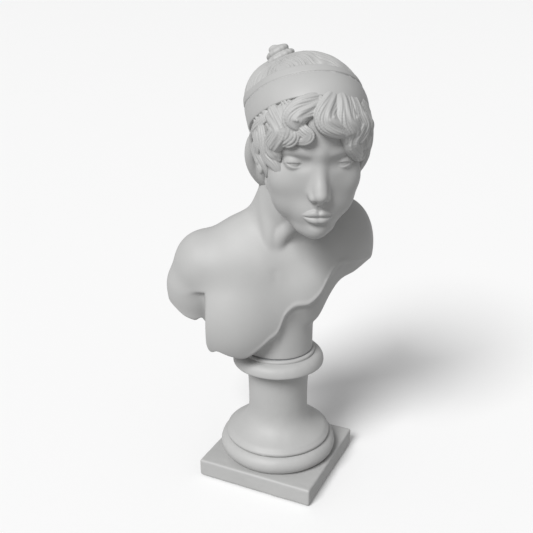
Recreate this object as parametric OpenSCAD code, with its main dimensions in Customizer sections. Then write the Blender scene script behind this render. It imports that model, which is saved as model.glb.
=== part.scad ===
// Marble bust on a turned socle, held together by a centre rod.
// Millimetres, +Z up, origin at the centre of the face it stands on.
// The bust is one carved stone. It sits on the rod's upper end and can be turned on it by hand.

/* [Plinth] */
// Side of the square plinth
plinth_side = 172; // [165:1:190]
// Thickness of the plinth slab
plinth_h = 25.5; // [20:0.5:32]
// Corner radius of the plinth, seen from above
plinth_corner_r = 3; // [1:0.5:8]
// Thickness of the felt under the plinth
felt_t = 1.5; // [1:0.5:3]

/* [Socle] */
// Height of the torus stone
torus_h = 28; // [22:1:32]
// Largest radius of the torus stone
torus_r = 84.5; // [81:0.5:85]
// Height of the turned column, with its collar
column_h = 140; // [130:1:150]
// Radius of the bell where it meets the torus
bell_r = 77; // [72:1:79]
// Radius of the waist
waist_r = 41.5; // [37:0.5:46]
// Radius of the collar at its rim
collar_r = 67; // [62:1:72]

/* [Bust] */
// Radius of the support pillar under the chest
pillar_r = 49; // [44:1:52]
// Thickness of the lead bedding disc under the pillar
bedding_t = 1; // [0.5:0.5:2]
// How far the bust is turned on its socle, in degrees
bust_turn = 25; // [0:1:45]

/* [Centre rod] */
// Radius of the rod
rod_r = 6; // [5:0.5:8]
// Running clearance between the rod's end and the bush
pivot_gap = 0.05; // [0.02:0.01:0.1]
// How far the rod stands up into the bust
pivot_len = 62; // [50:1:70]

/* [Hidden] */
$fn = 96;
hull_fn = 32;
eps = 0.01;

// Levels of the joints between the stones
plinth_z = felt_t;
torus_z = plinth_z + plinth_h;
column_z = torus_z + torus_h;
column_top = column_z + column_h;
foot_z = column_top + bedding_t;

// Fasteners: M12 washer and nut sizes
thread_gap = 0.05;
washer_t = 2.5;
bottom_washer_r = 18;
top_washer_r = 12;
nut_flats = 18;
nut_h = 10;
nut_r = nut_flats / 2 / cos(30);
rod_hole_r = rod_r + 1;
recess_r = 22;
recess_h = 14;
counterbore_r = 14;
counterbore_h = 16;

// Locating pins that stop the socle's stones turning on each other
pin_r = 3;
pin_gap = 0.05;
pin_circle_r = 46;
pin_low = plinth_z + plinth_h - 12;
pin_high = column_z + 12;

// The bush in the bust's foot
bush_wall = 3;
bush_r = rod_r + pivot_gap + bush_wall;
bush_low = foot_z + 2;
bush_h = pivot_len - 6;
bore_top = column_top + pivot_len + 6;

module ring(z, h, r_out, r_in) {
    translate([0, 0, z])
        difference() {
            cylinder(h = h, r = r_out);
            translate([0, 0, -eps]) cylinder(h = h + 2 * eps, r = r_in);
        }
}

module rod_hole(z, h) {
    translate([0, 0, z - eps]) cylinder(h = h + 2 * eps, r = rod_hole_r);
}

module pin_places() {
    for (side = [-1, 1]) translate([side * pin_circle_r, 0, 0]) children();
}

module pin_holes() {
    pin_places() translate([0, 0, pin_low - 1]) cylinder(h = pin_high - pin_low + 2, r = pin_r + pin_gap, $fn = 48);
}

module hex_nut(z) {
    translate([0, 0, z])
        difference() {
            intersection() {
                cylinder(h = nut_h, r = nut_r, $fn = 6);
                // The turned chamfer on both ends of the hexagon
                rotate_extrude()
                    polygon([[0, 0], [nut_flats / 2, 0], [nut_r, 1.2], [nut_r, nut_h - 1.2],
                             [nut_flats / 2, nut_h], [0, nut_h]]);
            }
            translate([0, 0, -eps]) cylinder(h = nut_h + 2 * eps, r = rod_r + thread_gap);
        }
}

// A square outline with round corners
module rounded_square(side, r) {
    half = side / 2 - r;
    union() {
        square([side - 2 * r, side], center = true);
        square([side, side - 2 * r], center = true);
        for (x = [-half, half], y = [-half, half]) translate([x, y]) circle(r = r, $fn = 32);
    }
}

module base_felt() {
    color("darkolivegreen") linear_extrude(felt_t) rounded_square(plinth_side - 8, plinth_corner_r);
}

module plinth() {
    color("gainsboro")
        translate([0, 0, plinth_z])
            difference() {
                linear_extrude(plinth_h) rounded_square(plinth_side, plinth_corner_r);
                translate([0, 0, -eps]) cylinder(h = recess_h + eps, r = recess_r);
                rod_hole(0, plinth_h);
                translate([0, 0, -plinth_z]) pin_holes();
            }
}

// Half the torus stone's section: a half-round edge between two flat beds
module torus_section() {
    bulge_r = torus_h / 2;
    union() {
        square([torus_r - bulge_r, torus_h]);
        translate([torus_r - bulge_r, bulge_r]) circle(r = bulge_r, $fn = 64);
    }
}

module base_torus() {
    color("gainsboro")
        translate([0, 0, torus_z])
            difference() {
                rotate_extrude() intersection() {
                    torus_section();
                    square([torus_r + 1, torus_h]);
                }
                rod_hole(0, torus_h);
                translate([0, 0, -torus_z]) pin_holes();
            }
}

// Points on a flare from radius r_low at height low to radius r_high at height high
function flare(low, high, r_low, r_high, power, steps) =
    [for (i = [0:steps]) let (t = i / steps)
        [r_high + (r_low - r_high) * pow(1 - t, power), low + (high - low) * t]];

lip_h = 7;             // rounded lip of the bell
waist_z = 67;          // narrowest level, above the column's bed
waist_flare = 4.5;     // how much the waist widens up to the collar
collar_z = 120;        // level of the collar's rim
bead_r = pillar_r + 3; // bead round the pillar's foot
column_profile = concat(
    [[0, 0], [bell_r - 3, 0], [bell_r - 0.8, 1], [bell_r, lip_h / 2], [bell_r - 1.2, lip_h]],
    flare(lip_h + 2, waist_z, bell_r - 3, waist_r, 3, 14),
    [for (i = [1:10]) let (t = i / 10) [waist_r + waist_flare * t * t, waist_z + (collar_z - 2 - waist_z) * t]],
    [[collar_r - 3, collar_z - 2], [collar_r - 0.6, collar_z - 1.2]],
    // The collar rises from its rim in a quarter of an oval
    [for (a = [0:10:80]) [bead_r + (collar_r - bead_r) * pow(cos(a), 0.8), collar_z + 15 * sin(a)]],
    [[bead_r + 0.6, column_h - 3], [bead_r, column_h - 1.2], [pillar_r + 1, column_h], [0, column_h]]
);

module socle_column() {
    color("gainsboro")
        translate([0, 0, column_z])
            difference() {
                rotate_extrude() polygon(column_profile);
                rod_hole(0, column_h);
                translate([0, 0, column_h - counterbore_h])
                    cylinder(h = counterbore_h + eps, r = counterbore_r);
                translate([0, 0, -column_z]) pin_holes();
            }
}

module locating_pins() {
    color("silver")
        pin_places() translate([0, 0, pin_low]) cylinder(h = pin_high - pin_low, r = pin_r, $fn = 48);
}

rod_low = plinth_z + 1.5;
rod_high = column_top + pivot_len;

module centre_rod() {
    chamfer = 1.5;
    color("silver")
        translate([0, 0, rod_low]) {
            cylinder(h = rod_high - rod_low - chamfer, r = rod_r);
            translate([0, 0, rod_high - rod_low - chamfer])
                cylinder(h = chamfer, r1 = rod_r, r2 = rod_r - chamfer);
        }
}

bottom_washer_z = plinth_z + recess_h - washer_t;
top_washer_z = column_top - counterbore_h;

module bottom_washer() {
    color("silver") ring(bottom_washer_z, washer_t, bottom_washer_r, rod_r + 0.5);
}

module bottom_nut() {
    color("silver") hex_nut(bottom_washer_z - nut_h);
}

module top_washer() {
    color("silver") ring(top_washer_z, washer_t, top_washer_r, rod_r + 0.5);
}

module top_nut() {
    color("silver") hex_nut(top_washer_z + washer_t);
}

module bedding_disc() {
    color("dimgray") ring(column_top, bedding_t, pillar_r - 1, counterbore_r + 4);
}

module bust_bush() {
    color("goldenrod") ring(bush_low, bush_h, bush_r, rod_r + pivot_gap);
}

// ---- The bust ----
// It is laid out facing -Y before it is turned on the socle.
// A ball at x to the sitter's left, y back and z up
module ball(p, r) {
    translate(p) sphere(r = r, $fn = hull_fn);
}

right_shoulder = [-108, 2, 322];
left_shoulder = [88, 16, 366];
neck_base = [-2, 8, 376];
skull = [32, -36, 524];

// Chest, breasts and upper back
module chest() {
    hull() {
        ball([-64, -26, 246], 50);
        ball([-44, -40, 240], 40);
        ball([38, -22, 292], 44);
        ball([-76, 10, 280], 44);
        ball([46, 14, 304], 44);
        ball([-30, 2, 350], 44);
        ball([36, 6, 352], 44);
    }
}

module shoulders() {
    hull() {
        ball(right_shoulder, 44);
        ball([-70, 6, 336], 42);
        ball(neck_base, 44);
        ball([0, 24, 342], 42);
    }
    hull() {
        ball(left_shoulder, 46);
        ball([84, 16, 330], 46);
        ball(neck_base, 44);
        ball([10, 24, 342], 42);
    }
}

module arm() {
    hull() {
        ball(right_shoulder, 42);
        ball([-116, 6, 288], 41);
        ball([-119, 10, 262], 37);
    }
}

module neck() {
    hull() {
        ball(neck_base, 49);
        ball([26, -26, 466], 45);
    }
}

module head() {
    hull() {
        ball(skull, 76);
        ball([36, -72, 522], 74);
        ball([68, -86, 470], 30);
        ball([10, -92, 470], 30);
        ball([40, -108, 412], 22);
    }
}

module bun() {
    hull() {
        ball([0, -12, 594], 19);
        ball([6, -14, 578], 26);
    }
}

// Everything under the slanting lower edge of the chest, seen from the front
module below_edge() {
    reach = 400;
    rotate([90, 0, 0])
        translate([0, 0, -reach / 2])
            linear_extrude(reach)
                polygon([[-reach, 266], [-150, 264], [-130, 250], [-104, 242], [-100, 222],
                         [-72, 215], [-48, 208], [-18, 228], [0, 246], [12, 264], [36, 272], [58, 284],
                         [80, 304], [110, 318], [137, 330], [reach, 334], [reach, 100], [-reach, 100]]);
}

module bust() {
    pillar_top = 300;
    color("gainsboro")
        difference() {
            rotate([0, 0, bust_turn])
                union() {
                    difference() {
                        union() {
                            chest();
                            shoulders();
                            arm();
                            neck();
                            head();
                            bun();
                        }
                        below_edge();
                    }
                    translate([0, 0, foot_z]) cylinder(h = pillar_top - foot_z, r = pillar_r);
                }
            translate([0, 0, foot_z - eps]) cylinder(h = bore_top - foot_z, r = bush_r);
        }
}

base_felt();
plinth();
base_torus();
socle_column();
locating_pins();
centre_rod();
bottom_washer();
bottom_nut();
top_washer();
top_nut();
bedding_disc();
bust_bush();
bust();
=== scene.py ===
import math
import bpy
import numpy as np
import openvdb
from mathutils import Matrix, Vector


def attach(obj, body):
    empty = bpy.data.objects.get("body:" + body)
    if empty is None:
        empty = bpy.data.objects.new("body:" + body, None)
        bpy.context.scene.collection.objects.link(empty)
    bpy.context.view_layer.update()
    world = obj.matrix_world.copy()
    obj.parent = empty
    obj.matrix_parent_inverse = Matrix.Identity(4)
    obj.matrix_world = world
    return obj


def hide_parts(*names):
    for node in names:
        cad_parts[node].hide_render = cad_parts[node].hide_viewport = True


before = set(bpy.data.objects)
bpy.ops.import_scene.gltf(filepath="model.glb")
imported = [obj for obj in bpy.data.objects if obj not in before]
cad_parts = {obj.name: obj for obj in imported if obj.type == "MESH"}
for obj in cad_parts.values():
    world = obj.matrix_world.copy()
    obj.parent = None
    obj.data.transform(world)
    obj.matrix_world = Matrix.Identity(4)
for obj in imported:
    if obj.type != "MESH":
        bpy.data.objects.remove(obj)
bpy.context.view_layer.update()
bpy.ops.object.select_all(action="DESELECT")
mm = 0.001

# camera, floor, light

cameraPlan = {
    "azimuth": 25.28,      # degrees round from the front of the plinth
    "elevation": 20.28,
    "distance": 1.144,     # along the view, from the origin
    "across": -0.0174,
    "raised": 0.2972,
    "lens": 50,
}


def addCamera(plan):
    a, e = math.radians(plan["azimuth"]), math.radians(plan["elevation"])
    back = Vector((math.sin(a) * math.cos(e), -math.cos(a) * math.cos(e), math.sin(e)))
    right = Vector((math.cos(a), math.sin(a), 0))
    up = back.cross(right)
    place = back * plan["distance"] + right * plan["across"] + up * plan["raised"]
    bpy.ops.object.camera_add(location=place, rotation=(math.pi / 2 - e, 0, a))
    camera = bpy.context.object
    camera.data.lens = plan["lens"]
    bpy.context.scene.camera = camera


lightPlan = {
    "azimuth": -8,         # degrees round from the front of the plinth
    "elevation": 44,
    "strength": 2.95,
    "softness": 24,        # how wide the light looks from the object, in degrees
    "surround": 0.36,
}


def addLights(plan):
    bpy.ops.object.light_add(type="SUN", location=(0, -2, 2))
    sun = bpy.context.object
    sun.name = "softbox"
    sun.rotation_euler = (math.radians(90 - plan["elevation"]), 0, math.radians(plan["azimuth"]))
    sun.data.energy = plan["strength"]
    sun.data.angle = math.radians(plan["softness"])
    world = bpy.data.worlds.new("studio")
    world.use_nodes = True
    nodes, links = world.node_tree.nodes, world.node_tree.links
    surround = nodes["Background"]
    surround.inputs["Color"].default_value = (1, 1, 1, 1)
    surround.inputs["Strength"].default_value = plan["surround"]
    # beyond the floor's far edge the backdrop shows as pale as the floor
    backdrop = nodes.new("ShaderNodeBackground")
    backdrop.inputs["Color"].default_value = (0.94, 0.94, 0.94, 1)
    seen = nodes.new("ShaderNodeLightPath")
    mix = nodes.new("ShaderNodeMixShader")
    links.new(seen.outputs["Is Camera Ray"], mix.inputs["Fac"])
    links.new(surround.outputs["Background"], mix.inputs[1])
    links.new(backdrop.outputs["Background"], mix.inputs[2])
    links.new(mix.outputs["Shader"], nodes["World Output"].inputs["Surface"])
    bpy.context.scene.world = world


def addFloor():
    bpy.ops.mesh.primitive_plane_add(size=400)
    floor = bpy.context.object
    floor.name = "floor"
    floor.visible_diffuse = False      # the light that it would throw up is in the surround already
    paint = bpy.data.materials.new("palePaper")
    paint.use_nodes = True
    shader = paint.node_tree.nodes["Principled BSDF"]
    shader.inputs["Base Color"].default_value = (0.95, 0.95, 0.95, 1)
    shader.inputs["Roughness"].default_value = 0.9
    floor.data.materials.append(paint)


addCamera(cameraPlan)
addLights(lightPlan)
addFloor()
bpy.context.scene.view_settings.view_transform = "Standard"
print("camera, lights and floor stand")

# materials

bustMarble = {"colour": (0.46, 0.46, 0.455), "vary": 0.03, "rough": 0.55}


def stoneMaterial(name, plan):
    material = bpy.data.materials.new(name)
    material.use_nodes = True
    nodes, links = material.node_tree.nodes, material.node_tree.links
    shader = nodes["Principled BSDF"]
    where = nodes.new("ShaderNodeTexCoord")
    cloud = nodes.new("ShaderNodeTexNoise")
    cloud.inputs["Scale"].default_value = 14
    cloud.inputs["Detail"].default_value = 6
    tone = nodes.new("ShaderNodeValToRGB")
    low = [c * (1 - plan["vary"]) for c in plan["colour"]]
    high = [c * (1 + plan["vary"]) for c in plan["colour"]]
    tone.color_ramp.elements[0].position = 0.35
    tone.color_ramp.elements[0].color = (*low, 1)
    tone.color_ramp.elements[1].position = 0.65
    tone.color_ramp.elements[1].color = (*high, 1)
    grain = nodes.new("ShaderNodeTexNoise")
    grain.inputs["Scale"].default_value = 900
    bump = nodes.new("ShaderNodeBump")
    bump.inputs["Strength"].default_value = 0.06
    bump.inputs["Distance"].default_value = 0.0004
    links.new(where.outputs["Object"], cloud.inputs["Vector"])
    links.new(where.outputs["Object"], grain.inputs["Vector"])
    links.new(cloud.outputs["Fac"], tone.inputs["Fac"])
    links.new(tone.outputs["Color"], shader.inputs["Base Color"])
    links.new(grain.outputs["Fac"], bump.inputs["Height"])
    links.new(bump.outputs["Normal"], shader.inputs["Normal"])
    shader.inputs["Roughness"].default_value = plan["rough"]
    return material


marble = stoneMaterial("greyMarble", bustMarble)

# clay: a shape held as distances, in millimetres, at points near its surface


def turned(yaw, nod, tilt):
    spin = Matrix.Rotation(math.radians(yaw), 3, "Z")
    bow = Matrix.Rotation(math.radians(nod), 3, "X")
    lean = Matrix.Rotation(math.radians(tilt), 3, "Y")
    return np.array(spin @ bow @ lean, np.float32)


def softMin(a, b, k):
    if k <= 0:
        return np.minimum(a, b)
    h = np.maximum(k - np.abs(a - b), 0) / k
    return np.minimum(a, b) - h * h * h * (k / 6)


def softMax(a, b, k):
    return -softMin(-a, -b, k)


def ease(t):
    t = np.clip(t, 0, 1)
    return t * t * (3 - 2 * t)


def smoothCurve(points, x):
    # cubic through a few points, flat past the ends
    px, py = (np.array(v, float) for v in zip(*points))
    slope = np.gradient(py, px)
    i = np.clip(np.searchsorted(px, x) - 1, 0, len(px) - 2)
    w = px[i + 1] - px[i]
    t = np.clip((x - px[i]) / w, 0, 1)
    a, b = py[i], py[i + 1]
    leaving = (a * (1 + 2 * t) + slope[i] * w * t) * (1 - t) ** 2
    return leaving + (b * (3 - 2 * t) - slope[i + 1] * w * (1 - t)) * t * t


def bendThrough(points, cuts):
    # a bent line through the points, with some more between each two
    p = np.array(points, float)
    p = np.vstack([2 * p[0] - p[1], p, 2 * p[-1] - p[-2]])
    t = np.arange(cuts)[:, None] / cuts
    line = []
    for a, b, c, d in zip(p[:-3], p[1:-2], p[2:-1], p[3:]):
        line.append(b + (c - a) * t / 2 + (2 * a - 5 * b + 4 * c - d) * t ** 2 / 2
                    + (3 * b - a - 3 * c + d) * t ** 3 / 2)
    return np.vstack(line + [p[-2:-1]])


class Clay:
    def __init__(self, points):
        self.points = points
        self.d = np.full(len(points), 1e3, np.float32)
        self.frame()

    def frame(self, origin=(0, 0, 0), turn=np.eye(3, dtype=np.float32), scale=1.0):
        self.scale = scale
        local = (self.points - np.array(origin, np.float32)) @ (turn / scale)
        self.q = [np.ascontiguousarray(local[:, i]) for i in range(3)]
        self.across = self.q[0]

    def bothSides(self, on=True):
        self.q[0] = np.abs(self.across) if on else self.across

    def work(self, low, high, field, k, how):
        room = 1.8 * k + 8
        keep = np.flatnonzero((self.q[0] > low[0] - room) & (self.q[0] < high[0] + room))
        for i in (1, 2):
            value = self.q[i][keep]
            keep = keep[(value > low[i] - room) & (value < high[i] + room)]
        if not len(keep):
            return
        new = field([q[keep] for q in self.q]) * self.scale
        old = self.d[keep]
        if how == "add":
            self.d[keep] = softMin(old, new, k * self.scale)
        elif how == "cut":
            self.d[keep] = softMax(old, -new, k * self.scale)
        elif how == "keep":
            self.d[keep] = softMax(old, new, k * self.scale)
        else:
            # push: the field is how far the surface moves in
            self.d[keep] = old + new

    def ball(self, c, r, k=0, how="add", turn=None):
        r = np.array([r] * 3 if np.isscalar(r) else r, float)
        reach = r if turn is None else np.full(3, r.max())

        def field(q):
            q = [q[i] - c[i] for i in range(3)]
            if turn is not None:
                m = turned(*turn)
                q = [q[0] * m[0, i] + q[1] * m[1, i] + q[2] * m[2, i] for i in range(3)]
            a = np.sqrt(sum((q[i] / r[i]) ** 2 for i in range(3)))
            b = np.sqrt(sum((q[i] / r[i] ** 2) ** 2 for i in range(3)))
            return a * (a - 1) / np.maximum(b, 1e-4)
        self.work(np.array(c) - reach, np.array(c) + reach, field, k, how)

    def limb(self, a, b, ra, rb, k=0, how="add"):
        a, b = np.array(a, float), np.array(b, float)
        along = b - a
        length2 = float(along @ along)

        def field(q):
            q = [q[i] - a[i] for i in range(3)]
            t = np.clip(sum(q[i] * along[i] for i in range(3)) / length2, 0, 1)
            return np.sqrt(sum((q[i] - along[i] * t) ** 2 for i in range(3))) - (ra + (rb - ra) * t)
        r = max(ra, rb)
        self.work(np.minimum(a, b) - r, np.maximum(a, b) + r, field, k, how)

    def path(self, points, radii, k=0, how="add", cuts=3):
        line = bendThrough([(*p, r) for p, r in zip(points, radii)], cuts)
        for a, b in zip(line[:-1], line[1:]):
            self.limb(a[:3], b[:3], a[3], b[3], k, how)


def gridPoints(low, count, step):
    axes = [low[i] + step * np.arange(count[i], dtype=np.float32) for i in range(3)]
    return np.stack([g.ravel() for g in np.meshgrid(*axes, indexing="ij")], 1)


def carve(name, low, high, step, shape, place, detail=4):
    # the shape is tried on a coarse grid, then worked out finely only beside its surface
    low = np.array(low, np.float32)
    coarse = step * detail
    cells = np.ceil((np.array(high) - low) / coarse).astype(int)
    middle = low + coarse / 2 - step / 2
    rough = shape(gridPoints(middle, cells, coarse)).reshape(cells)
    near = np.argwhere(np.abs(rough) < coarse * 1.6)
    corner = gridPoints(np.zeros(3, np.float32), (detail,) * 3, step)
    fine = (low + near.astype(np.float32) * coarse)[:, None, :] + corner[None, :, :]
    d = shape(fine.reshape(-1, 3)).reshape(-1, detail, detail, detail) / step
    solid = np.sign(rough).astype(np.float32) * 3
    full = np.repeat(np.repeat(np.repeat(solid, detail, 0), detail, 1), detail, 2)
    full = full.reshape(cells[0], detail, cells[1], detail, cells[2], detail)
    full[near[:, 0], :, near[:, 1], :, near[:, 2], :] = np.clip(d, -3, 3)
    full = full.reshape(cells * detail)
    grid = openvdb.FloatGrid(3.0)
    grid.copyFromArray(np.ascontiguousarray(full))
    points, quads = grid.convertToQuads(isovalue=0.0)
    points = np.array(points) * step + low
    me = bpy.data.meshes.new(name)
    me.from_pydata([], [], [])
    me.vertices.add(len(points))
    me.vertices.foreach_set("co", (points * mm).astype(np.float32).ravel())
    me.loops.add(len(quads) * 4)
    me.loops.foreach_set("vertex_index", np.array(quads)[:, ::-1].astype(np.int32).ravel())
    me.polygons.add(len(quads))
    me.polygons.foreach_set("loop_start", np.arange(0, len(quads) * 4, 4, dtype=np.int32))
    me.update(calc_edges=True)
    me.validate()
    me.transform(place)
    piece = bpy.data.objects.new(name, me)
    bpy.context.scene.collection.objects.link(piece)
    print(name, len(points), "points")
    return piece


def finish(piece, material, body, share=1.0):
    # share is how much of the triangles stays
    bpy.context.view_layer.objects.active = piece
    if share < 1:
        thin = piece.modifiers.new("thin", "DECIMATE")
        thin.ratio = share
        bpy.ops.object.modifier_apply(modifier="thin")
    bpy.ops.object.select_all(action="DESELECT")
    piece.select_set(True)
    bpy.ops.object.shade_smooth_by_angle(angle=math.radians(60))
    piece.select_set(False)
    piece.data.materials.clear()
    piece.data.materials.append(material)
    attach(piece, body)


# the bust, laid out facing -Y and then turned on its socle

bustTurn = Matrix.Rotation(math.radians(25), 4, "Z")
footLevel = 196

# across, height of the chest's lower edge as it is seen from the front
frontEdge = [(-170, 270), (-150, 265), (-131, 251), (-118, 245), (-104, 242), (-99, 222), (-83, 219),
             (-64, 211), (-48, 207), (-30, 218), (-14, 232), (0, 246), (7, 266), (16, 278), (43, 288),
             (54, 299), (68, 321), (82, 333), (107, 333), (131, 334), (160, 335)]
# across, how far the cut face drops behind that edge
edgeDrop = [(-170, 4), (-60, 4), (-30, 6), (0, 14), (30, 34), (60, 46), (80, 36), (113, 22), (134, 10),
            (160, 8)]
# across, how far forward the edge lies
edgeFront = [(-170, 10), (-110, 20), (-99, 56), (-48, 76), (0, 70), (54, 58), (82, 40), (131, 5), (160, -10)]


def lowerCut(q):
    x, y, z = q
    edge = smoothCurve(frontEdge, x)
    behind = smoothCurve(edgeFront, x) + y
    floorLevel = edge - smoothCurve(edgeDrop, x) * ease(behind / 30)
    floorLevel = floorLevel + 26 * ease((behind - 60) / 60)
    # behind the breast the arm's stump ends no lower than its front
    floorLevel = floorLevel + 22 * ease((y + 20) / 20) * ease((x + 112) / 8) * ease((-45 - x) / 35)
    return (floorLevel - z) * 0.7


def cutRim(q):
    # a thin raised rim along the edge, and a hollow under it
    x, y, z = q
    above = z - smoothCurve(frontEdge, x)
    strong = ease((x + 60) / 50) * ease((140 - x) / 20) * ease((-10 - y) / 15)
    return strong * (1.6 * np.exp(-((above + 7) / 5) ** 2) - 1.2 * np.exp(-((above - 2.5) / 3.5) ** 2))


def neckShape(clay):
    clay.limb((0, 6, 376), (31, -26, 466), 46, 43, 20)
    # throat, and the tendons from behind the ears to the pit of the neck
    clay.limb((16, -38, 440), (-4, -24, 380), 20, 14, 16)
    clay.path([(-12, -10, 452), (-14, -25, 410), (-11, -38, 376), (-10, -36, 352)], [9, 8, 6, 3],
              12, "add", 8)
    clay.path([(48, -36, 440), (24, -42, 402), (3, -42, 376), (-2, -36, 352)], [9, 8, 6, 3], 10, "add", 8)


def bodyShape(clay):
    # rib cage and belly side
    clay.ball((-26, -2, 285), (98, 60, 112), 36)
    clay.ball((0, 18, 340), (86, 44, 56), 30)
    clay.ball((50, 6, 298), (40, 40, 52), 26)
    # breasts and the muscles from them to the shoulders
    clay.ball((-60, -24, 246), (62, 52, 66), 36)
    clay.ball((40, -20, 296), (42, 42, 54), 34)
    clay.limb((-24, -24, 330), (-98, -10, 318), 26, 32, 30)
    clay.limb((22, -20, 344), (80, 0, 356), 24, 30, 28)
    # chest stops at a plane under the right arm
    clay.work((-300, -200, 100), (-100, 200, 296), lambda q: np.maximum(q[0] + 100, q[2] - 296), 6, "cut")
    # shoulders and the stump of the right arm
    clay.ball((-105, 2, 318), (42, 42, 50), 24)
    clay.ball((-116, 6, 288), (42, 40, 46), 14)
    clay.limb((-115, 6, 290), (-120, 10, 259), 40, 37, 10)
    clay.ball((84, 16, 346), (48, 42, 67), 26)
    # slope of the shoulders up to the neck
    clay.limb((0, 18, 361), (-90, 8, 335), 36, 30, 20)
    clay.limb((16, 20, 400), (80, 18, 368), 38, 36, 24)
    neckShape(clay)
    clay.work((-300, -200, 100), (300, 200, 420), lowerCut, 2, "keep")
    clay.work((-60, -200, 100), (140, -10, 420), cutRim, 0, "push")
    # groove down the middle of the chest, and the fold beside the left breast
    clay.path([(-2, -84, 236), (0, -82, 268), (-3, -76, 300), (-5, -64, 330)], [9, 8, 7, 4], 9, "cut")
    clay.path([(60, -63, 306), (62, -58, 326), (66, -50, 344)], [3, 4, 2], 4, "cut")
    # pillar
    clay.limb((0, 0, footLevel - 60), (0, 0, 290), 49, 49, 22)
    clay.work((-100, -100, 100), (100, 100, footLevel), lambda q: footLevel - q[2], 2, "keep")


# the head, laid out upright at life size, x to the sitter's left and the face to -Y
headPlace = ((35, -58, 502), turned(7, 8, 0), 0.9)
eyeCentre, eyeRadius = (31, -72, 0), 12.3


def lid(upper):
    # an eyelid is part of a shell round the eyeball, above or below the line where the lids part
    def field(q):
        q = [q[i] - eyeCentre[i] for i in range(3)]
        r = np.sqrt(sum(v * v for v in q))
        side = np.degrees(np.arctan2(q[0], -q[1]))
        height = np.degrees(np.arcsin(np.clip(q[2] / np.maximum(r, 1e-3), -1, 1)))
        bow = np.maximum(1 - ((side - 1) / 56) ** 2, -1)
        edge = 9 * bow + 0.05 * side if upper else -19 * bow - 1 + 0.05 * side
        past = np.radians(edge - height) * eyeRadius
        shell = np.abs(r - eyeRadius + 0.6) - (2.4 if upper else 2.0)
        return softMax(shell, past if upper else -past, 0.8)
    return field


def headShape(clay):
    clay.bothSides()
    # skull, face, jaw
    clay.ball((0, 10, 28), (74, 93, 82), 24)
    clay.ball((0, -36, 40), (57, 57, 52), 22)
    clay.ball((0, -31, -20), (61, 62, 84), 20)
    clay.ball((0, -74, -91), (18, 21, 18), 18)
    clay.limb((45, -4, -54), (14, -66, -90), 15, 14, 18)
    clay.ball((30, -50, -56), (24, 28, 28), 22)
    clay.ball((36, -56, -28), (24, 24, 24), 18)
    clay.limb((42, -58, -16), (62, -12, -6), 12, 8, 16)
    # brow and eye socket
    clay.ball((0, -83, 18), (14, 10, 12), 14)
    clay.path([(15, -84, 15), (30, -79, 19), (44, -68, 15)], [4.6, 4.2, 3], 14)
    clay.ball((31, -97, 0), (19, 13.5, 11.5), 9, "cut")
    clay.ball((17, -98, 2), (6, 9, 8), 7, "cut")
    # eyeball and lids
    clay.ball(eyeCentre, eyeRadius, 1)
    clay.work((14, -95, -14), (48, -56, 16), lid(False), 2.5, "add")
    clay.work((14, -95, -14), (48, -56, 16), lid(True), 2.5, "add")
    # nose
    clay.path([(0, -87, 16), (0, -86, 4), (0, -92, -14), (0, -99, -28), (0, -102, -36)],
              [6.6, 4.8, 5.1, 5.9, 6.4], 10)
    clay.limb((3, -86, -8), (8, -92, -36), 5, 7, 10)
    clay.ball((0, -104.5, -37), (7.6, 8, 7.2), 7)
    clay.ball((8.8, -97, -41), (5.4, 8, 5.6), 6)
    clay.limb((0, -104, -43), (0, -95, -51), 3.6, 4.2, 4)
    clay.ball((5.6, -101.5, -48.2), (2.7, 5, 2.6), 2, "cut")
    # mouth
    clay.ball((0, -65, -65), (34, 31, 29), 16)
    clay.path([(0, -96, -65), (5.5, -96.6, -63.6), (12.5, -94, -65.8), (19.5, -88.8, -69)],
              [3.4, 3.6, 2.8, 1], 3.5)
    clay.path([(0, -95.4, -74.4), (6, -94.9, -74.2), (12.5, -92.2, -72.4), (18.5, -88.4, -69.8)],
              [4.9, 4.6, 3.2, 1], 3.5)
    clay.path([(0, -100.5, -69.6), (5.5, -99.9, -69), (12.5, -96.8, -69.4), (20.5, -91, -70)],
              [1.2, 1.2, 1.1, 0.9], 1.4, "cut")
    clay.limb((0, -99.6, -54), (0, -100.2, -59.5), 2.2, 2.6, 4, "cut")
    clay.limb((0, -100.5, -83), (10, -97, -82), 4, 3, 8, "cut")
    # ears
    clay.ball((62, 6, -12), (10, 13, 21), 6)
    clay.path([(65, -4, -12), (69, -5, 4), (73, 4, 13), (77, 15, 8), (77, 18, -8),
                (71, 13, -26), (66, 4, -38)],
              [2, 2.6, 3, 3, 3, 2.8, 3], 2, "add", 8)
    clay.ball((65, 3, -37), (4.5, 7.5, 9), 5)
    clay.ball((74, 2, -18), (8, 7.5, 11), 3, "cut")
    clay.path([(72, 9, 2), (74, 11, -8), (71, 8, -22), (69, 5, -30)], [2.2, 2.6, 2.6, 2], 3, "add", 8)
    clay.ball((69, -6, -17), (3, 4, 5), 2)
    clay.bothSides(False)


def figureShape(points):
    clay = Clay(points)
    bodyShape(clay)
    clay.frame(*headPlace)
    headShape(clay)
    return clay.d


# the stone is worked in two runs, finer above this plane through the neck
seam = {"point": (0, -45, 396), "up": (-0.12, -0.20, 1)}


def cutAtSeam(piece, keepAbove):
    bpy.ops.object.select_all(action="DESELECT")
    bpy.context.view_layer.objects.active = piece
    piece.select_set(True)
    bpy.ops.object.mode_set(mode="EDIT")
    bpy.ops.mesh.select_all(action="SELECT")
    point = bustTurn @ (Vector(seam["point"]) * mm)
    up = bustTurn @ Vector(seam["up"]).normalized()
    bpy.ops.mesh.bisect(plane_co=point, plane_no=up, use_fill=True,
                        clear_inner=keepAbove, clear_outer=not keepAbove, threshold=1e-7)
    bpy.ops.object.mode_set(mode="OBJECT")
    piece.select_set(False)


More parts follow.
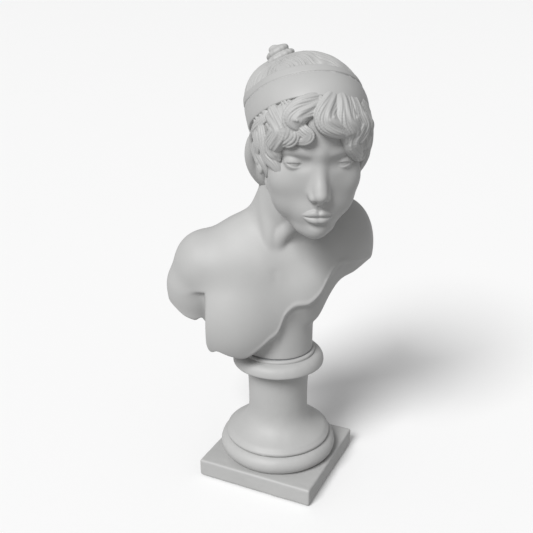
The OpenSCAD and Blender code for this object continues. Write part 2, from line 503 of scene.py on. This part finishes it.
fine = 0.8
step = 1.4
torsoShare, headShare = 0.7, 0.28
torso = carve("torso", (-175, -105, 180), (165, 90, 450), step, figureShape, bustTurn)
cutAtSeam(torso, False)
finish(torso, marble, "bust", torsoShare)
head = carve("head", (-75, -190, 370), (140, 90, 640), fine, figureShape, bustTurn)
cutAtSeam(head, True)
finish(head, marble, "bust", headShare)

# the hair, laid out round the head in the same frame

skullSize = (76, 92, 84)      # to the left, to the front, up
skullBack = 102
skullRise = 28                # height of the skull's middle
bunPlace = (-34, 64, 104)
everywhere = ((-220, -220, -220), (220, 220, 220))

# degrees round from the front, height of the hairline there
hairLine = [(0, 74), (10, 70), (24, 56), (36, 44), (48, 30), (58, 12), (66, -8), (73, -6), (78, 22), (96, 26),
            (106, -12), (120, -46), (150, -62), (180, -66)]


def onHead(turn, height, out):
    up = (height - skullRise) / np.where(height > skullRise, skullSize[2] + out, 140)
    full = np.sqrt(np.maximum(1 - up * up, 0.01))
    a = np.radians(turn)
    deep = np.where(np.cos(a) > 0, skullSize[1], skullBack)
    return np.stack([(skullSize[0] + out) * full * np.sin(a), -(deep + out) * full * np.cos(a),
                     height + 0 * a], -1)


def hairMass(clay, out):
    clay.ball((0, 12, 28), (77 + out, 95 + out, 86 + out), 20)
    clay.ball((0, -34, 42), (59 + out, 58 + out, 54 + out), 18)
    clay.ball((-30, 56, 46), (49 + out, 51 + out, 49 + out), 20)
    clay.ball((28, 56, 44), (46 + out, 49 + out, 47 + out), 20)


def sidesOf(axis):
    side = np.cross(axis, (1, 0, 0.2))
    side = side / np.linalg.norm(side)
    return side, np.cross(axis, side)


def toBun(q):
    # angle round the line from the middle of the head to the bun, and angle away from it
    centre = np.array((-6, 0, 10), float)
    axis = np.array(bunPlace) - centre
    axis = axis / np.linalg.norm(axis)
    side, other = sidesOf(axis)
    v = [q[i] - centre[i] for i in range(3)]
    far = np.sqrt(sum(c * c for c in v)) + 1e-3
    around = np.arctan2(sum(v[i] * other[i] for i in range(3)), sum(v[i] * side[i] for i in range(3)))
    away = np.arccos(np.clip(sum(v[i] * axis[i] for i in range(3)) / far, -1, 1))
    return around, away


def strands(q):
    # combed locks that swing as they run to the bun, with fine lines along them
    around, away = toBun(q)
    r = around + 0.30 * np.sin(1.9 * away + 0.6) + 0.07 * np.sin(6.5 * away + 3 * np.sin(2 * around))
    r = r + 0.03 * np.sin(13 * away + 5 * np.sin(3 * around + 1))
    broad = np.abs(np.sin(r * 13 + 1.3 * np.sin(3 * r)))
    narrow = np.abs(np.sin(r * 31 + 1.6 * np.sin(5 * r + 3 * away)))
    hairs = np.abs(np.sin(r * 74 + 2 * np.sin(9 * r)))
    deep = 0.55 + 0.45 * np.sin(5 * away + 4 * np.sin(2 * around + 1))
    near = ease((away - 0.12) / 0.3)
    return near * (4.4 * deep * (1 - broad) ** 1.5 + 2.2 * (1 - narrow) ** 1.5 + 0.5 * (1 - hairs)) - 1.2


def hairCapShape(points):
    clay = Clay(points)
    clay.frame(*headPlace)
    hairMass(clay, 4)
    clay.ball((0, 50, -14), (60, 54, 44), 20)
    def belowLine(q):
        turn = np.degrees(np.arctan2(np.abs(q[0]) / 76, -q[1] / 92))
        return (smoothCurve(hairLine, turn) - 26 * ease((turn - 100) / 30) - q[2]) * 0.75
    clay.work(*everywhere, belowLine, 3, "keep")
    clay.work(*everywhere, strands, 0, "push")
    return clay.d


# the band lies high in front and slopes to the nape; its narrow upper strip laps over the wide one
band = {"slope": 0.75, "low": 28.5, "lap": 38.5, "top": 52, "proud": 5, "over": 0.9}


def bandHeight(q):
    return (q[2] + band["slope"] * q[1] - band["low"]) / math.hypot(1, band["slope"])


def bandShape(points):
    clay = Clay(points)
    clay.frame(*headPlace)
    hairMass(clay, band["proud"])

    def folds(q):
        h = bandHeight(q)
        lapLine = band["lap"] + 1.2 * np.sin(q[0] / 31 + 0.6)
        over = band["over"] * ease((h - lapLine) / 1.0) * ease((band["top"] + 4 - h) / 8)
        crease = 1.1 * np.exp(-((h - lapLine) / 1.3) ** 2)
        swell = 1.5 * np.maximum(np.sin(np.clip(h / band["lap"], 0, 1) * math.pi), 0) ** 0.7
        return crease - over - swell
    clay.work(*everywhere, folds, 0, "push")
    half = band["top"] / 2
    clay.work(*everywhere,
              lambda q: np.abs(bandHeight(q) - half + 0.8 * np.sin(q[0] / 19)) - half, 2.5, "keep")
    return clay.d


def lock(clay, line, width, count, seed):
    # a lock of strands lying on the head, along a line of turn, height and lift
    line = bendThrough(line, 6)
    at = onHead(line[:, 0], line[:, 1], line[:, 2])
    t = np.linspace(0, 1, len(at))
    ahead = np.gradient(at, axis=0)
    ahead = ahead / np.linalg.norm(ahead, axis=1)[:, None]
    outward = at / np.array(skullSize) ** 2 * (1, 1, 0.3)
    outward = outward / np.linalg.norm(outward, axis=1)[:, None]
    aside = np.cross(ahead, outward)
    wide = width * np.clip(0.9 + t, 0, 1) * np.clip(1.03 - t ** 5, 0.16, 1)
    core = wide * 0.27
    for s in (-0.5, 0, 0.5):
        under = at - outward * (wide * 0.22)[:, None] + aside * (s * wide * 0.55)[:, None]
        for i in range(len(at) - 1):
            clay.limb(under[i], under[i + 1], core[i], core[i + 1], 2)
    for j, s in enumerate(np.linspace(-1, 1, count)):
        sway = s + 0.10 * np.sin(6 * t + seed + 0.8 * j)
        lift = (1 - sway ** 2) * 0.13 + 0.03 * np.sin(8 * t + 1.7 * j + seed)
        p = at + aside * (sway * wide * 0.44)[:, None] + outward * (lift * wide)[:, None]
        r = np.maximum(wide / count * 0.62, 0.8)
        for i in range(len(p) - 1):
            clay.limb(p[i], p[i + 1], r[i], r[i + 1], 0.9)


# each lock: points of turn round the head, height and lift, then its width and how many strands
rightLocks = [
    ([(-72, 38, 2), (-70, 26, 6), (-66, 12, 7), (-68, 0, 6), (-62, -12, 5), (-60, -24, 4),
      (-63, -34, 2)], 14, 5),
    ([(-58, 52, 2), (-68, 38, 6), (-74, 26, 7), (-77, 16, 6)], 11, 4),
    ([(-66, 40, 3), (-60, 28, 6), (-57, 15, 7), (-54, 3, 7), (-46, -5, 6), (-42, -14, 5), (-44, -26, 4),
      (-50, -37, 3)], 15, 5),
    ([(-55, 58, 3), (-45, 51, 7), (-39, 42, 10), (-43, 30, 9), (-48, 18, 7), (-44, 7, 6),
      (-40, 1, 3)], 26, 8),
    ([(-42, 68, 2), (-36, 57, 6), (-31, 49, 9), (-31, 39, 9), (-37, 29, 7), (-43, 24, 3)], 20, 6),
    ([(-31, 50, 4), (-26, 42, 9), (-27, 35, 9), (-32, 28, 7), (-36, 25, 3)], 15, 5),
    ([(-23, 52, 4), (-17, 47, 9), (-12, 42, 9), (-15, 36, 8), (-21, 33, 6), (-27, 33, 3)], 13, 5),
    ([(0, 78, 1), (-12, 75, 7), (-22, 70, 11), (-27, 60, 13), (-23, 50, 9), (-19, 46, 4)], 30, 10),
]
leftLocks = [
    ([(72, 38, 2), (70, 26, 6), (66, 12, 7), (68, 0, 6), (62, -12, 5), (60, -24, 4), (63, -34, 2)], 14, 5),
    ([(58, 52, 2), (68, 38, 6), (74, 26, 7), (77, 16, 6)], 11, 4),
    ([(66, 44, 3), (60, 28, 7), (57, 12, 8), (60, -4, 7), (56, -18, 5), (58, -30, 3)], 16, 5),
    ([(55, 68, 1), (60, 50, 4), (54, 37, 7), (50, 27, 8), (56, 15, 6), (53, 1, 5), (46, -6, 2)], 25, 8),
    ([(43, 76, 2), (38, 62, 9), (40, 48, 12), (35, 37, 11), (31, 28, 9), (37, 16, 8), (44, 5, 6),
      (50, 0, 3)], 28, 9),
    ([(30, 82, 2), (24, 70, 10), (23, 58, 13), (28, 45, 12), (27, 33, 8), (32, 24, 4)], 30, 10),
    ([(18, 83, 2), (9, 77, 8), (3, 69, 12), (2, 60, 13), (8, 53, 13), (18, 45, 11), (27, 34, 5)], 26, 9),
]


def curlShape(points):
    clay = Clay(points)
    clay.frame(*headPlace)
    # rolls of hair behind the ears, drawn down to the nape
    clay.bothSides()
    clay.ball((50, 38, -34), (24, 26, 44), 8)
    clay.path([(69, 20, 10), (75, 26, -6), (76, 30, -28), (70, 35, -50), (58, 40, -70), (44, 46, -84)],
              [4, 7, 8.5, 8.5, 7, 3], 4, "add", 8)
    clay.path([(72, 22, 5), (78, 26, -10), (79, 31, -30), (70, 37, -50), (56, 43, -68)],
              [2, 3, 3.6, 3.4, 2], 2.5, "add", 8)
    clay.path([(68, 36, 5), (73, 40, -10), (74, 42, -30), (65, 47, -52), (50, 50, -70)],
              [3, 5.4, 5.6, 5.4, 3], 2.5, "add", 8)
    clay.bothSides(False)
    for i, (line, width, count) in enumerate(rightLocks + leftLocks):
        lock(clay, line, width, count, i * 1.7)
    return clay.d


def bunShape(points):
    clay = Clay(points)
    clay.frame(*headPlace)
    middle = np.array(bunPlace, float)
    axis = np.array((-0.35, 0.35, 0.87))
    side, other = sidesOf(axis)
    clay.ball(middle, 14, 4)
    # one thick strand wound in from the outside to the top
    turns = np.linspace(0, 2.1, 32)
    for s in (-1, -0.33, 0.33, 1):
        reach = 17.5 - 5.8 * turns + 3.4 * s
        rise = -6 + 9 * turns - 1.4 * np.abs(s)
        a = 2 * np.pi * turns + 0.5
        p = middle + axis * rise[:, None]
        p = p + side * (reach * np.cos(a))[:, None] + other * (reach * np.sin(a))[:, None]
        for i in range(len(p) - 1):
            clay.limb(p[i], p[i + 1], 3.8, 3.8, 2.5)
    return clay.d


headLow, headHigh = (-75, -185, 370), (150, 95, 640)
# each piece's shape, and the share of its triangles that stays
hairPieces = {"hairCap": (hairCapShape, 0.33), "headband": (bandShape, 0.4), "curls": (curlShape, 0.7),
              "bun": (bunShape, 1)}
for name, (shape, share) in hairPieces.items():
    piece = carve(name, headLow, headHigh, fine, shape, bustTurn)
    finish(piece, marble, "bust", share)
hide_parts("bust")

# the socle: plinth slab, torus and turned column

slab = {"side": 174.6, "low": 1.5, "high": 27.6, "round": 2.6, "cell": 1.5}
torusStone = {"low": 27, "high": 55, "reach": 85.3, "bulge": 14.5, "hole": 7}
column = {"low": 55, "bell": 77, "lip": 7, "waist": 60, "waistReach": 43.2, "flare": 3.5, "collar": 120,
          "collarReach": 66, "bead": 52, "height": 140, "hole": 14}


def wear(piece, size, depth, name):
    # soft unevenness of stone worked by hand
    cloud = bpy.data.textures.new(name, "CLOUDS")
    cloud.noise_scale = size * mm
    cloud.noise_depth = 2
    worn = piece.modifiers.new(name, "DISPLACE")
    worn.texture = cloud
    worn.texture_coords = "LOCAL"
    worn.mid_level = 0.5
    worn.strength = depth * mm
    bpy.context.view_layer.objects.active = piece
    bpy.ops.object.modifier_apply(modifier=name)


def spun(name, profile, steps):
    # profile of radius and height turned round the upright axis, with both ends on the hole
    me = bpy.data.meshes.new(name)
    points = [(r * mm, 0, z * mm) for r, z in profile]
    count = len(points)
    me.from_pydata(points, [(i, (i + 1) % count) for i in range(count)], [])
    piece = bpy.data.objects.new(name, me)
    bpy.context.scene.collection.objects.link(piece)
    bpy.context.view_layer.objects.active = piece
    piece.select_set(True)
    bpy.ops.object.mode_set(mode="EDIT")
    bpy.ops.mesh.select_all(action="SELECT")
    bpy.ops.mesh.spin(steps=steps, angle=2 * math.pi, center=(0, 0, 0), axis=(0, 0, 1), use_auto_merge=True)
    bpy.ops.mesh.select_all(action="SELECT")
    bpy.ops.mesh.remove_doubles(threshold=0.00002)
    bpy.ops.mesh.normals_make_consistent(inside=False)
    bpy.ops.object.mode_set(mode="OBJECT")
    piece.select_set(False)
    return piece


def closeUp(points, gap):
    # more points along the profile, so that no two lie further apart than the gap
    out = []
    for p, q in zip(points, points[1:] + points[:1]):
        parts = max(1, int(math.hypot(q[0] - p[0], q[1] - p[1]) / gap))
        out += [(p[0] + (q[0] - p[0]) * i / parts, p[1] + (q[1] - p[1]) * i / parts) for i in range(parts)]
    return out


# the slab: edges worn round and faces a little wavy
bpy.ops.mesh.primitive_cube_add(size=1, location=(0, 0, (slab["low"] + slab["high"]) / 2 * mm))
plinth = bpy.context.object
plinth.name = "plinthStone"
plinth.scale = (slab["side"] * mm, slab["side"] * mm, (slab["high"] - slab["low"]) * mm)
bpy.ops.object.transform_apply(location=True, rotation=False, scale=True)
soft = plinth.modifiers.new("soft", "BEVEL")
soft.width = slab["round"] * mm
soft.segments = 5
bpy.ops.object.modifier_apply(modifier="soft")
cells = plinth.modifiers.new("cells", "REMESH")
cells.mode = "VOXEL"
cells.voxel_size = slab["cell"] * 1 * mm
bpy.ops.object.modifier_apply(modifier="cells")
wear(plinth, 34, 1.3, "wave")
wear(plinth, 7, 0.35, "tooled")
finish(plinth, marble, "socle")
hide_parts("plinth")
print("plinth worn")

# the torus: a full roll
turnSteps = 240
middle = torusStone["low"] + torusStone["bulge"]
core = torusStone["reach"] - torusStone["bulge"]
roll = [(torusStone["hole"], torusStone["low"] + 0.3), (core, torusStone["low"] + 0.3)]
for a in range(-84, 77, 7):
    roll.append((core + torusStone["bulge"] * math.cos(math.radians(a)),
                 middle + torusStone["bulge"] * math.sin(math.radians(a)) * (1 if a < 0 else 0.95)))
roll += [(core + 2, torusStone["high"] - 0.2), (torusStone["hole"], torusStone["high"] - 0.2)]
torusPiece = spun("torusRoll", closeUp(roll, 3), turnSteps)
wear(torusPiece, 26, 0.9, "swell")
wear(torusPiece, 5, 0.3, "pits")
finish(torusPiece, marble, "socle")
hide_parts("base_torus")
print("torus turned")

# the column: bell, waist, sharp collar and the bead under the pillar
base, lip, bell = column["low"], column["lip"], column["bell"]
waist, waistReach = column["waist"], column["waistReach"]
rim, rimReach = base + column["collar"], column["collarReach"]
bead, top = column["bead"], base + column["height"]
turnedLine = [(column["hole"], base + 0.2), (bell - 3, base + 0.2), (bell - 0.6, base + 1),
              (bell, base + lip / 2), (bell - 0.8, base + lip - 1), (bell - 3.2, base + lip),
              (bell - 4, base + lip + 1.6)]
bellSteps, neckSteps, domeRise = 24, 12, 15
for i in range(1, bellSteps + 1):
    t = i / bellSteps
    turnedLine.append((waistReach + (bell - 4 - waistReach) * (1 - t) ** 3.8,
                       base + lip + 2 + (waist - lip - 2) * t))
for i in range(1, neckSteps + 1):
    t = i / neckSteps
    turnedLine.append((waistReach + column["flare"] * t * t,
                       base + waist + (column["collar"] - 2 - waist) * t))
turnedLine += [(waistReach + column["flare"] + 1, rim - 1.2), (rimReach - 3, rim - 2),
               (rimReach - 0.5, rim - 1.2), (rimReach, rim)]
for a in range(8, 84, 6):
    turnedLine.append((bead + (rimReach - bead) * math.cos(math.radians(a)) ** 0.8,
                       rim + domeRise * math.sin(math.radians(a))))
turnedLine += [(bead + 0.4, top - 4.6), (bead + 1.1, top - 3), (bead + 0.6, top - 1), (bead - 1, top - 0.1),
               (column["hole"], top - 0.1)]
columnPiece = spun("turnedColumn", closeUp(turnedLine, 3), turnSteps)
wear(columnPiece, 30, 0.9, "swell2")
wear(columnPiece, 6, 0.25, "tooled2")
finish(columnPiece, marble, "socle")
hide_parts("socle_column")
print("column turned")

# finishes of the inside pieces


def plainMaterial(name, plan):
    # one even finish with a faint mottle
    material = bpy.data.materials.new(name)
    material.use_nodes = True
    nodes, links = material.node_tree.nodes, material.node_tree.links
    shader = nodes["Principled BSDF"]
    shader.inputs["Metallic"].default_value = plan["metal"]
    shader.inputs["Roughness"].default_value = plan["rough"]
    where = nodes.new("ShaderNodeTexCoord")
    mottle = nodes.new("ShaderNodeTexNoise")
    mottle.inputs["Scale"].default_value = plan["grain"]
    tone = nodes.new("ShaderNodeValToRGB")
    tone.color_ramp.elements[0].color = (*[c * 0.8 for c in plan["colour"]], 1)
    tone.color_ramp.elements[1].color = (*plan["colour"], 1)
    links.new(where.outputs["Object"], mottle.inputs["Vector"])
    links.new(mottle.outputs["Fac"], tone.inputs["Fac"])
    links.new(tone.outputs["Color"], shader.inputs["Base Color"])
    return material


felt = plainMaterial("greenFelt", {"colour": (0.06, 0.13, 0.08), "metal": 0, "rough": 0.95, "grain": 1400})
steel = plainMaterial("zincSteel", {"colour": (0.55, 0.56, 0.57), "metal": 1, "rough": 0.38, "grain": 260})
lead = plainMaterial("dullLead", {"colour": (0.30, 0.31, 0.33), "metal": 1, "rough": 0.6, "grain": 120})
bronze = plainMaterial("bushBronze", {"colour": (0.60, 0.38, 0.17), "metal": 1, "rough": 0.35, "grain": 180})
insides = {"base_felt": felt, "locating_pins": steel, "centre_rod": steel, "bottom_washer": steel,
           "bottom_nut": steel, "top_washer": steel, "top_nut": steel, "bedding_disc": lead,
           "bust_bush": bronze}
for name, finishOf in insides.items():
    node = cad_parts[name]
    node.data.materials.clear()
    node.data.materials.append(finishOf)
print("inside pieces finished")
